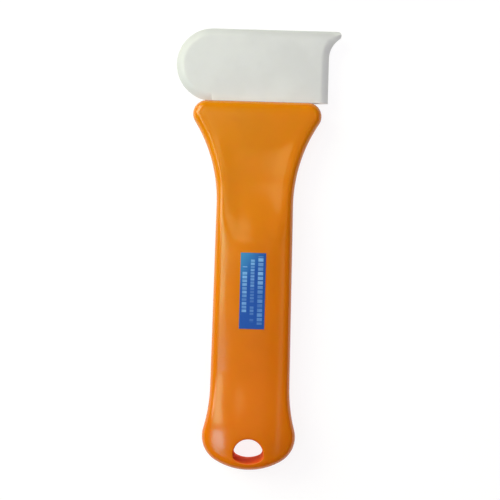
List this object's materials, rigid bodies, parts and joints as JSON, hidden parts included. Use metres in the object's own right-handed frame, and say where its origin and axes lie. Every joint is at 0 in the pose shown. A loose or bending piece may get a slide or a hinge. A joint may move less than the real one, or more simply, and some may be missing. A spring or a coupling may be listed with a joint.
{
  "type": "ceramic-bladed hand scraper",
  "caption": "Hand scraper: a one-piece moulded handle with a flared head, thumb rest and D-shaped hanging hole, and a flat ceramic blade with a round end and a hooked end.",
  "frame": {"origin": "on the handle's middle plane, half-way along the scraper, on the surface that it lies on: the middle of the bounding box's bottom", "axes": "+X across the handle towards the blade's hook, +Y along the handle from the butt to the blade, +Z out of the front that carries the label"},
  "size_m": [0.06, 0.16, 0.0156],
  "materials": {
    "handle_plastic": "glossy moulded",
    "blade_ceramic": "fine ground, satin",
    "label_film": "glossy printed film"
  },
  "bodies": {
    "root": {"handle": "handle_plastic", "blade": "blade_ceramic", "label": "label_film"}
  },
  "joints": []
}
